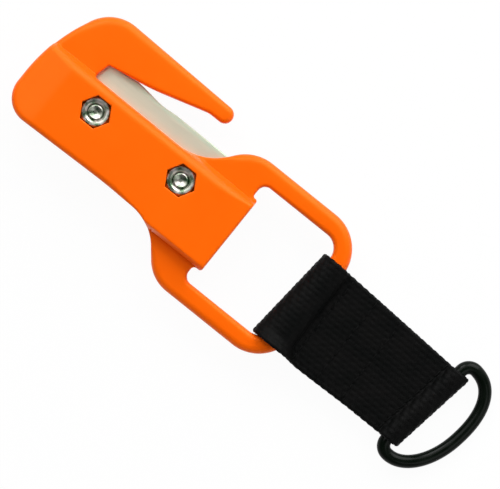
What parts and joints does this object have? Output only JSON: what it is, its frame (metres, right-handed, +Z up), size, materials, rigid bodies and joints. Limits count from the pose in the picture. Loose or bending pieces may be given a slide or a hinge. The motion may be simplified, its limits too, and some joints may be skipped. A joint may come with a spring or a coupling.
{
  "type": "hook-type strap cutter",
  "caption": "Flat moulded rescue cutter with a guarded blade across its hook, a nut-clamped raised grip and a strap frame that carries a folded webbing tab and a D-ring.",
  "frame": {"origin": "on the rear face that the cutter lies on, midway between the two clamp screws", "axes": "+X from the hook end along the grip to the D-ring, +Y towards the hook's side, +Z up out of the face with the nuts"},
  "size_m": [0.1431, 0.0466, 0.013],
  "materials": {
    "orange_moulding": "satin moulded nylon, safety orange",
    "blade_steel": "ground",
    "zinc_plate": "bright zinc plate",
    "black_webbing": "woven nylon webbing",
    "black_enamel": "semi-gloss black"
  },
  "bodies": {
    "cutter": {"front_shell": "orange_moulding", "rear_shell": "orange_moulding", "blade": "blade_steel", "clamp_screw_hook_end": "zinc_plate", "clamp_screw_frame_end": "zinc_plate", "hex_nut_hook_end": "zinc_plate", "hex_nut_frame_end": "zinc_plate"},
    "tab": {"webbing_tab": "black_webbing"},
    "ring": {"d_ring": "black_enamel"}
  },
  "joints": [
    {"name": "tab_hinge", "type": "hinge", "parent": "cutter", "child": "tab", "pos_m": [0.05704, -0.00477, 0.0065], "axis": [0, -1, 0], "range_deg": [-140, 150]},
    {"name": "ring_hinge", "type": "hinge", "parent": "tab", "child": "ring", "pos_m": [0.09573, -0.00587, 0.0037], "axis": [-0.156, -0.9877, 0.0113], "range_deg": [-145, 150]}
  ]
}
